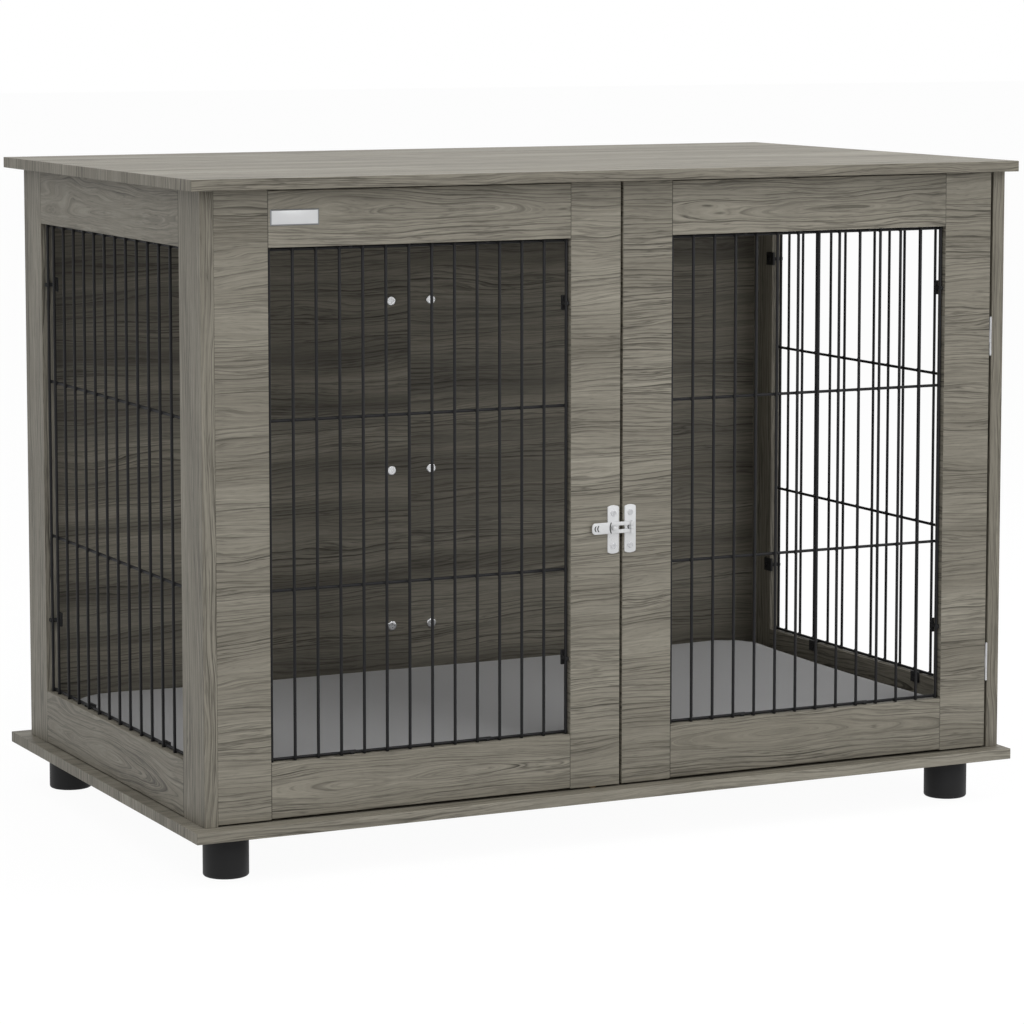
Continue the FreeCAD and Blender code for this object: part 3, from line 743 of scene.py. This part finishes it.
class CRATE_OT_fasteners(bpy.types.Operator):
    """Bolts, nuts, cams and screws of the cabinet"""
    bl_idname = "crate.fasteners"
    bl_label = "Fasteners"

    def execute(self, context):
        rise = sizes().screw_proud
        back, down = (0, 1, 0), (0, 0, -1)
        self.fasten("strip_bolt_heads", domed_head(6.2 * MM, 2.4 * MM), "polished_zinc",
                    "back_strip_bolts", (0, -1, 0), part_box("back_left_panel")[0].y)
        low, high = shells("back_strip_nuts")[0]
        self.fasten("strip_nuts", self.nut(low, high), "zinc_plated_steel", "back_strip_nuts",
                    back, low.y)
        self.fasten("cam_faces", self.cam_face(), "die_cast_zinc", "cam_locks")
        self.fasten("back_screw_heads", flat_head(4.0 * MM, rise), "zinc_plated_steel",
                    "back_panel_screws", back)
        self.fasten("board_screw_heads", flat_head(5.0 * MM, rise), "zinc_plated_steel",
                    "bottom_board_screws", down)
        for node, material in (("cam_bolts", "die_cast_zinc"), ("cabinet_dowels", "bare_beech"),
                               ("door_dowels", "bare_beech"), ("foot_studs", "zinc_plated_steel"),
                               ("foot_insert_nuts", "die_cast_zinc")):
            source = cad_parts[node].data
            source.materials.clear()
            source.materials.append(materials()[material])
        return {"FINISHED"}

    def fasten(self, name, template, material, node, way=None, level=None):
        """Stamp a template on one side of each of a node's solids, and delete it."""
        places = [face_of(low, high, way or self.cam_way(low, high), level)
                  for low, high in shells(node)]
        heads_at(name, template, places, material, "cabinet", node)
        scrap(template)

    def cam_way(self, low, high):
        """A cam is 15 mm across and less than 13 mm deep. It faces back or inwards."""
        if high.y - low.y < 13 * MM:
            return (0, 1, 0)
        return (-1 if low.x + high.x > 0 else 1, 0, 0)

    def nut(self, low, high):
        """A hexagon nut with eased corners, and the bolt's end through it."""
        depth = high.y - low.y
        nut = post("nut", (0, 0), 0, depth, (high.z - low.z) / 2, 6)
        round_edges(nut, 0.5 * MM, lambda edge: middle(edge).z > 0.9 * depth)
        end = post("end", (0, 0), 0, depth + 0.8 * MM, 3.0 * MM, 20)
        round_edges(end, 0.6 * MM, sharp(60, lambda spot: spot.z > depth))
        return joined("nut", [nut, end])

    def cam_face(self):
        """A cam's face with its rim and a cross."""
        radius = 7.5 * MM
        face = post("cam", (0, 0), -2 * MM, 0.3 * MM, radius, 36)
        sink(face, 1, 1.1 * MM, 0.3 * MM, 0.5 * MM)
        cross_recess(face, radius, -0.2 * MM, 1.1 * MM)
        return smooth(face, 35)


# ---------------------------------------------------------------- clips
def clip_body(margin, wire_depth):
    """One tab in the opening's own axes: x into the opening, z into the cabinet. A narrow leg
    under its end hooks the wire."""
    reach, slack = margin + 0.5 * MM, 0.05 * MM
    half, thick, grip = 8 * MM, 3 * MM, 10 * MM
    deep = wire_depth + sizes().wire_radius + 0.8 * MM
    plate = block("clip", (-grip, -half, 0), (reach, half, thick))
    leg = block("leg", (slack, -0.25 * half, -deep), (reach - slack, 0.25 * half, 0.5 * MM))
    for part in (plate, leg):
        round_edges(part, 0.5 * MM, sharp(60))
    groove = round_bar("groove", (margin, -2 * half, -wire_depth),
                       (margin, 2 * half, -wire_depth), sizes().wire_radius * 1.02, 16)
    cut(leg, groove)
    # A shallow pocket that the screw's head sits in.
    pocket = round_bar("pocket", (-grip / 2, 0, thick - 0.5 * MM), (-grip / 2, 0, thick + MM),
                       3.7 * MM, 28)
    cut(plate, pocket)
    return joined("clip", [plate, leg])


class CRATE_OT_clips(bpy.types.Operator):
    """Moulded clips that hold the grilles, with their screws"""
    bl_idname = "crate.clips"
    bl_label = "Clips"

    def execute(self, context):
        head = domed_head(3.0 * MM, 1.6 * MM)
        head_place = Matrix.Translation((-5 * MM, 0, 2.5 * MM))
        screws = {"cabinet": [], "door": []}
        for name in FRAMES:
            opening = Opening(name)
            radius, depth = sizes().wire_radius, opening.thickness
            kinds = ((opening.margin, depth / 2 + radius),
                     (sizes().cross_margin, depth / 2 - radius))
            tabs = []
            for kind, seats in zip(kinds, self.seats(opening)):
                body = clip_body(*kind)
                places = [opening.matrix @ axes(into, Vector((0, 1, 0)).cross(into), (0, 1, 0),
                                                (x, depth, z)) for x, z, into in seats]
                screws[opening.body] += [place @ head_place for place in places]
                tabs.append(stamped("tabs", body, places))
                scrap(body)
            dress(smooth(joined(name + "_clips", tabs), 30), "moulded_plastic", opening.body,
                  name + "_mesh_clips")
        for body, places in screws.items():
            heads_at(body + "_clip_heads", head, places, "black_steel_and_painted_shade", body,
                     body + "_clip_screws")
        scrap(head)
        return {"FINISHED"}

    def seats(self, opening):
        """Where the clips sit on the stiles and on the rails, and which way they reach."""
        heights = (opening.low + 83 * MM, opening.high - 70 * MM)
        gaps = [(a + b) / 2 for a, b in zip(opening.uprights, opening.uprights[1:])]
        across = [min(gaps, key=lambda x: abs(x - wanted))
                  for wanted in (opening.left + 105 * MM, opening.right - 105 * MM)]
        on_stiles = [(x, z, Vector((way, 0, 0)))
                     for x, way in ((opening.left, 1), (opening.right, -1)) for z in heights]
        on_rails = [(x, z, Vector((0, 0, way)))
                    for z, way in ((opening.low, 1), (opening.high, -1)) for x in across]
        return on_stiles, on_rails


# ---------------------------------------------------------------- feet
class CRATE_OT_feet(bpy.types.Operator):
    """Round moulded feet"""
    bl_idname = "crate.feet"
    bl_label = "Feet"

    def execute(self, context):
        for node in ("foot_front_left", "foot_front_right", "foot_rear_left", "foot_rear_right"):
            low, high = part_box(node)
            foot = post(node + "_moulding", (low + high) / 2, low.z, high.z, 24.5 * MM, 72)
            round_edges(foot, sizes().foot_edge, sharp(60, lambda spot: spot.z < low.z + MM), 5)
            round_edges(foot, 0.6 * MM, sharp(60, lambda spot: spot.z > high.z - 0.1 * MM))
            sink(foot, -1, 3 * MM, 0.8 * MM, 1.2 * MM)
            dress(smooth(foot), "moulded_plastic", "cabinet", node)
        return {"FINISHED"}


# ---------------------------------------------------------------- hinges
class CRATE_OT_hinges(bpy.types.Operator):
    """Butt hinges in the gap beside the door"""
    bl_idname = "crate.hinges"
    bl_label = "Hinges"

    def execute(self, context):
        leaf, cap_height, gap = 0.8 * MM, 0.9 * MM, 0.3 * MM
        flat = flat_head(2.0 * MM, 0.12 * MM)
        pins, heads = [], {"frame": [], "door": []}
        for name in ("lower_hinge", "upper_hinge"):
            low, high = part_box(name + "_frame_leaf")
            wall, door_wall = high.x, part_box(name + "_door_leaf")[0].x
            axis = [(a + b) / 2 for a, b in shells("hinge_pins") if abs(a.z - low.z) < 10 * MM][0]
            third = (high.z - low.z) / 3
            self.leaf(name + "_frame_leaf", axis, wall, -leaf,
                      ((low.z, low.z + third), (high.z - third, high.z)), "cabinet")
            self.leaf(name + "_door_leaf", axis, door_wall, leaf,
                      ((low.z + third + gap, high.z - third - gap),), "door")
            pin = post("pin", axis, low.z - cap_height, high.z + cap_height, 0.7 * MM, 16)
            caps = [post("cap", axis, z, z + cap_height, 1.2 * MM, 20)
                    for z in (low.z - cap_height, high.z)]
            for cap in caps:
                round_edges(cap, 0.35 * MM, sharp(60))
            pins += [pin] + caps
            for rise in (-13 * MM, 13 * MM):
                y, z = axis.y + 7.5 * MM, (low.z + high.z) / 2 + rise
                heads["frame"].append(looking((wall - leaf, y, z), (-1, 0, 0)))
                heads["door"].append(looking((door_wall + leaf, y, z), (1, 0, 0)))
        dress(smooth(joined("hinge_pin_rods", pins)), "zinc_plated_steel", "cabinet",
              "hinge_pins")
        for part, body in (("frame", "cabinet"), ("door", "door")):
            heads_at("hinge_" + part + "_screw_heads", flat, heads[part], "zinc_plated_steel",
                     body, "hinge_" + part + "_screws")
        scrap(flat)
        return {"FINISHED"}

    def leaf(self, node, axis, wall, thick, bands, body):
        """A pressed leaf on its wall, whose tongues curl round the pin."""
        knuckle = 1.3 * MM
        low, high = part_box(node)
        behind = axis.y + knuckle + 0.3 * MM
        x0, x1 = sorted((wall, wall + thick))
        plate = block("plate", (x0, behind, low.z), (x1, high.y, high.z))
        round_edges(plate, 1.5 * MM, running(0, lambda spot: spot.y > high.y - MM), 4)
        parts = [plate]
        for start, end in bands:
            parts.append(block("tongue", (x0, axis.y, start), (x1, behind + 0.2 * MM, end)))
            barrel = post("barrel", axis, start, end, knuckle, 28)
            parts.append(cut(barrel, post("bore", axis, start - MM, end + MM, 0.78 * MM, 20)))
        dress(smooth(joined(node + "_plate", parts), 35), "zinc_plated_steel", body, node)


# ---------------------------------------------------------------- latch
def latch_plate(name, low, high):
    """A plate with shallow round ends and softened edges, in the place of a solid's plate."""
    width, middle_x = high.x - low.x, (low.x + high.x) / 2
    rise = 1.6 * MM
    plate = block(name, (low.x, low.y, low.z + rise), (high.x, high.y, high.z - rise))
    divide(plate, 0, 11)
    for vert in plate.data.vertices:
        share = (vert.co.x - middle_x) / (width / 2)
        out = 1 if vert.co.z > (low.z + high.z) / 2 else -1
        vert.co.z += out * rise * (1 - share * share)
    round_edges(plate, 1.5 * MM,
                running(1, lambda spot: abs(spot.x - middle_x) > 0.49 * width), 4)
    round_edges(plate, 0.35 * MM, sharp(50, lambda spot: spot.y < low.y + 0.1 * MM))
    return plate


class CRATE_OT_latch(bpy.types.Operator):
    """Hasp latch: keeper plate with staple, pivot plate and forked arm"""
    bl_idname = "crate.latch"
    bl_label = "Latch"

    def execute(self, context):
        thick, gap, arm_thick = 1.5 * MM, 0.35 * MM, 1.4 * MM
        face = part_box("front_fixed_right_stile")[0].y
        front = face - thick
        arm_back = front - gap
        arm_front = arm_back - arm_thick
        arm_low, arm_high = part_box("latch_arm")
        arm_z = (arm_low.z + arm_high.z) / 2
        pin_low, pin_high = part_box("latch_pin")
        axis = (pin_low + pin_high) / 2
        plates, middles = [], []
        for side in ("keeper", "pivot"):
            low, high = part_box("latch_" + side + "_plate")
            middles.append((low + high) / 2)
            plates.append(latch_plate(side, Vector((low.x, front, low.z)),
                                      Vector((high.x, face, high.z))))
        keeper_x, pivot_x = (place.x for place in middles)
        self.keeper(plates[0], keeper_x, front, arm_front, arm_z)
        self.pivot(plates[1], axis, front, arm_z)
        self.arm(axis, keeper_x, arm_low, arm_high, arm_back, arm_front, arm_z)
        pin = post("latch_pin_rod", axis, pin_low.z, pin_high.z, MM, 20)
        round_edges(pin, 0.3 * MM, sharp(60))
        dress(smooth(pin), "zinc_plated_steel", "door", "latch_pin")
        dome = domed_head(3.3 * MM, 0.9 * MM)
        for side, x, body in (("keeper", keeper_x, "cabinet"), ("pivot", pivot_x, "door")):
            places = [looking((x, front, middles[0].z + rise), (0, -1, 0))
                      for rise in (-18 * MM, 18 * MM)]
            heads_at("latch_" + side + "_heads", dome, places, "zinc_plated_steel", body,
                     "latch_" + side + "_screws")
        scrap(dome)
        # A thin dark bar on the pivot plate is painted shade in the gap between the arm's slot and
        # the ear's web.
        painted_shadow = self.painted_shadow(pivot_x - 2.2 * MM, front, arm_z, 2.6 * MM)
        dress(smooth(joined("latch_pivot_painted_shadow", [painted_shadow])), "black_steel_and_painted_shade", "door")
        return {"FINISHED"}

    def keeper(self, plate, x, plate_front, arm_front, arm_z):
        """The staple is a bent strap that stands through the arm's slot."""
        half, tip = 1.75 * MM, arm_front - 4.5 * MM
        staple = block("staple", (x - 3 * MM, tip, arm_z - half),
                       (x + 3 * MM, plate_front + 0.3 * MM, arm_z + half))
        round_edges(staple, 1.5 * MM, running(2, lambda spot: spot.y < tip + 0.1 * MM), 4)
        cut(staple, post("eye", (x, (tip + arm_front) / 2), arm_z - 5 * MM, arm_z + 5 * MM,
                         1.3 * MM, 24))
        round_edges(staple, 0.25 * MM, sharp(60))
        dress(smooth(joined("latch_keeper", [plate, staple]), 35), "bright_plate_paint",
              "cabinet", "latch_keeper_plate")

    def pivot(self, plate, axis, plate_front, arm_z):
        """The ear stands in the arm's fork."""
        half, radius = 1.75 * MM, 2.1 * MM
        ear = post("ear", axis, arm_z - half, arm_z + half, radius, 28)
        web = block("web", (axis.x - radius, axis.y, arm_z - half),
                    (axis.x + radius, plate_front + 0.3 * MM, arm_z + half))
        dress(smooth(joined("latch_pivot", [plate, ear, web]), 35), "bright_plate_paint", "door",
              "latch_pivot_plate")

    def arm(self, axis, keeper_x, low, high, back, front, arm_z):
        """A pressed strip: knuckle, slotted run and a lifted thumb tab. Thin dark bars on it are
        painted shade at the slot's end and on the tab's grip."""
        bend_x, end_x, lift = keeper_x - 6.85 * MM, low.x - 2.4 * MM, 1.2 * MM
        strip = block("strip", (bend_x, front, low.z), (axis.x, back, high.z))
        edit(strip, "FACE")
        pick(strip, lambda f: f.normal.x < -0.9)
        bpy.ops.mesh.extrude_region_move(
            TRANSFORM_OT_translate={"value": (end_x - bend_x, -lift, 0)})
        bpy.ops.object.mode_set(mode="OBJECT")
        round_edges(strip, 4.2 * MM, running(1, lambda spot: spot.x < end_x + 0.1 * MM), 8)
        knuckle = post("knuckle", axis, low.z, high.z, 2.1 * MM, 28)
        parts = []
        for part in (strip, knuckle):
            slot = block("slot", (keeper_x - 3.35 * MM, front - 6 * MM, arm_z - 2.1 * MM),
                         (axis.x + 5 * MM, back + MM, arm_z + 2.1 * MM))
            round_edges(slot, 1.2 * MM, running(1, lambda spot: spot.x < keeper_x), 4)
            parts.append(cut(part, slot))
        round_edges(strip, 0.3 * MM, sharp(50, lambda spot: spot.y < front + 0.05 * MM))
        dress(smooth(joined("latch_forked_arm", parts), 35), "bright_plate_paint", "latch_arm",
              "latch_arm")
        # Painted shade: dark bars at the tab's two grip ribs and at the slot's end.
        painted_shadows = []
        for from_end, half in ((4.0 * MM, 3.0 * MM), (7.4 * MM, 3.4 * MM),
                               (keeper_x - 4.2 * MM - end_x, 6.0 * MM)):
            raised = lift * max(0.0, 1 - from_end / (bend_x - end_x))
            painted_shadows.append(self.painted_shadow(end_x + from_end, front - raised, arm_z, half))
        dress(smooth(joined("latch_arm_painted_shadows", painted_shadows), 35), "black_steel_and_painted_shade", "latch_arm")

    def painted_shadow(self, x, front, middle_z, half):
        """A thin dark bar across a plate, bowed like a bracket: painted shade of a rib, a slot's end
        or a gap.
        """
        bar = block("painted_shadow", (x - 0.65 * MM, front - 0.15 * MM, middle_z - half),
                    (x + 0.65 * MM, front + 0.3 * MM, middle_z + half))
        divide(bar, 2, 9)
        for vert in bar.data.vertices:
            share = (vert.co.z - middle_z) / half
            vert.co.x += 1.4 * MM * (share * share - 0.5)
        return bar


# ---------------------------------------------------------------- nameplate
class CRATE_OT_nameplate(bpy.types.Operator):
    """Bare metal plate with a raised rim"""
    bl_idname = "crate.nameplate"
    bl_label = "Nameplate"

    def execute(self, context):
        shift, rim, past = (Vector(way) * MM for way in ((1.6, 0, 0), (1.3, 0, 1.3), (0, 1, 0)))
        low, high = [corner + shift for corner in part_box("nameplate")]
        inner_low, inner_high = low + rim, high - rim
        plate = block("bare_plate", inner_low + past / 4, inner_high)
        round_edges(plate, 0.15 * MM, sharp(60, lambda spot: spot.y < low.y + 0.3 * MM))
        dress(smooth(plate, 30), "bright_plate_paint", "cabinet", "nameplate")
        border = block("nameplate_rim", low, high)
        round_edges(border, MM, sharp(60, lambda spot: spot.y < low.y + 0.05 * MM), 1)
        cut(border, block("hole", inner_low - past, inner_high + past))
        dress(smooth(border, 30), "die_cast_zinc", "cabinet")
        return {"FINISHED"}


# ---------------------------------------------------------------- cushion
class CRATE_OT_pad(bpy.types.Operator):
    """Stuffed pad on the bottom board, filled by a cloth simulation"""
    bl_idname = "crate.pad"
    bl_label = "Pad"

    def execute(self, context):
        low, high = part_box("cushion")
        inset = Vector((4 * MM, 4 * MM, 0))
        rim = high.z - 1.5 * MM
        pad = block("crate_pad", low + inset, (high.x - inset.x, high.y - inset.y, rim))
        round_edges(pad, sizes().pad_corner, running(2), 10)
        round_edges(pad, 12 * MM, sharp(60, lambda spot: spot.z > rim - 2 * MM), 5)
        round_edges(pad, 9 * MM, sharp(60, lambda spot: spot.z < low.z + MM), 4)
        self.fill(pad, low, high)
        dress(smooth(pad, 180), "grey_cover_cloth", "cabinet", "cushion")
        return {"FINISHED"}

    def fill(self, pad, low, high):
        """Inflate the cover a little, with its base and its firm sides held."""
        modify(pad, "REMESH", mode="VOXEL", voxel_size=7 * MM)
        start = [vert.co.copy() for vert in pad.data.vertices]
        held = pad.vertex_groups.new(name="held")
        for vert in pad.data.vertices:
            if vert.normal.z < 0.8 or vert.co.z < low.z + 4 * MM:
                held.add([vert.index], 1.0, "REPLACE")
        cloth = pad.modifiers.new("cloth", "CLOTH")
        settings = cloth.settings
        settings.quality = 5
        settings.use_pressure = True
        settings.uniform_pressure_force = 3.0
        settings.effector_weights.gravity = 0.0
        settings.vertex_group_mass = "held"
        for number in range(1, 21):
            bpy.context.scene.frame_set(number)
        alone(pad)
        bpy.ops.object.modifier_apply(modifier=cloth.name)
        bpy.context.scene.frame_set(1)
        limit = sizes().pad_swell
        centre, half = (low + high) / 2, (high - low) / 2
        seam, seam_width, draw_in = low.z + 0.84 * half.z, 3.5 * MM, 2.2 * MM
        # The base rests flat, the sides draw in at the seam, and nothing leaves the space.
        for vert, was in zip(pad.data.vertices, start):
            move = vert.co - was
            if move.length > limit:
                vert.co = was + move * (limit / move.length)
            vert.co.z = min(max(vert.co.z, low.z + 0.2 * MM), high.z + 4 * MM)
            outward = Vector((vert.co.x - centre.x, vert.co.y - centre.y, 0))
            if max(abs(outward.x) / half.x, abs(outward.y) / half.y) > 0.95:
                pull = math.exp(-((vert.co.z - seam) / seam_width) ** 2)
                vert.co -= outward.normalized() * pull * draw_in
            for k in (0, 1):
                vert.co[k] = min(max(vert.co[k], low[k] - 3 * MM), high[k] + 3 * MM)
        modify(pad, "SMOOTH", factor=0.5, iterations=4)


# ---------------------------------------------------------------- stage
class CRATE_OT_stage(bpy.types.Operator):
    """Pale floor, soft lamps and the camera"""
    bl_idname = "crate.stage"
    bl_label = "Stage"

    def execute(self, context):
        scene = context.scene
        scene.view_settings.view_transform = "Standard"
        bpy.ops.object.select_all(action="DESELECT")
        bpy.ops.mesh.primitive_plane_add(size=60.0, location=(0, 0, -0.5 * MM))
        floor = named("floor")
        recipe = Recipe("floor_white")
        recipe.surface(Base_Color=(0.8, 0.8, 0.8, 1.0), Roughness=0.9)
        shine = recipe.add("Emission")
        recipe.feed(shine.inputs, (*finish().floor, 1.0), 1.04)
        recipe.show(("Camera", "Glossy", "Transmission"), 0.92, recipe.shader.outputs[0],
                    shine.outputs[0], recipe.tree.nodes["Material Output"])
        floor.data.materials.append(recipe.owner)
        self.sky(scene)
        self.lamps()
        self.camera(scene)
        return {"FINISHED"}

    def sky(self, scene):
        """White light from all round, under a backdrop of the floor's colour."""
        scene.world = scene.world or bpy.data.worlds.new("studio")
        recipe = Recipe("studio", scene.world)
        recipe.tree.nodes.clear()
        lit, seen = (recipe.add("Background") for _ in range(2))
        recipe.feed(lit.inputs, (1.0, 1.0, 1.0, 1.0), 0.3)
        recipe.feed(seen.inputs, (*finish().floor, 1.0), 1.0)
        recipe.show(("Camera", "Glossy"), 1.0, lit.outputs[0], seen.outputs[0],
                    recipe.add("OutputWorld"))

    def lamps(self):
        """Size in metres, watts, and the direction and distance from the crate's middle."""
        aim = Vector((0, 0, 0.35))
        for name, size, power, azimuth, elevation, away in (
                ("front_key", 1.0, 12.0, 13.0, 25.0, 3.2),
                ("right_window", 1.8, 17.0, 45.0, 45.0, 3.2),
                ("right_side", 1.6, 16.0, 80.0, 35.0, 3.0),
                ("left_window", 2.4, 27.0, -50.0, 46.0, 3.4),
                ("overhead", 3.0, 21.0, -10.0, 80.0, 3.2)):
            a, e = math.radians(azimuth), math.radians(elevation)
            way = Vector((math.sin(a) * math.cos(e), -math.cos(a) * math.cos(e), math.sin(e)))
            bpy.ops.object.light_add(type="AREA", location=aim + way * away)
            lamp = bpy.context.object
            lamp.name = name
            lamp.rotation_euler = way.to_track_quat("Z", "Y").to_euler()
            lamp.data.size = size
            lamp.data.energy = power

    def camera(self, scene):
        """The photograph's camera, fitted to its edges and corners."""
        down, right = math.radians(6.048), math.radians(26.067)
        bpy.ops.object.camera_add(location=(-1.8628, -3.8254, 0.9209),
                                  rotation=(math.radians(90) - down, 0, -right))
        camera = bpy.context.object
        camera.name = "photo_camera"
        camera.data.lens = 130.64
        camera.data.sensor_width = 36.0
        camera.data.shift_y = -0.12
        scene.camera = camera


# ---------------------------------------------------------------- panel and run
PIECES = (CRATE_OT_stage, CRATE_OT_boards, CRATE_OT_frames, CRATE_OT_grilles, CRATE_OT_clips,
          CRATE_OT_feet, CRATE_OT_hinges, CRATE_OT_latch, CRATE_OT_nameplate,
          CRATE_OT_fasteners, CRATE_OT_pad)


class CRATE_PT_sidebar(bpy.types.Panel):
    """Lists the pieces that can be built"""
    bl_idname = "CRATE_PT_sidebar"
    bl_label = "Dog crate end table"
    bl_space_type = "VIEW_3D"
    bl_region_type = "UI"
    bl_category = "Crate"

    def draw(self, context):
        for group in (context.scene.crate_sizes, context.scene.crate_finish):
            box = self.layout.box()
            for name in group.__annotations__:
                box.prop(group, name)
        for operator in PIECES:
            self.layout.operator(operator.bl_idname)


CLASSES = (CrateSizes, CrateFinish) + PIECES + (CRATE_PT_sidebar,)


def register():
    for each in CLASSES:
        bpy.utils.register_class(each)
    bpy.types.Scene.crate_sizes = PointerProperty(type=CrateSizes)
    bpy.types.Scene.crate_finish = PointerProperty(type=CrateFinish)


def unregister():
    del bpy.types.Scene.crate_finish
    del bpy.types.Scene.crate_sizes
    for each in reversed(CLASSES):
        bpy.utils.unregister_class(each)


def main():
    register()
    for operator in PIECES:
        getattr(bpy.ops.crate, operator.bl_idname.split(".")[1])()


if __name__ == "__main__":
    main()
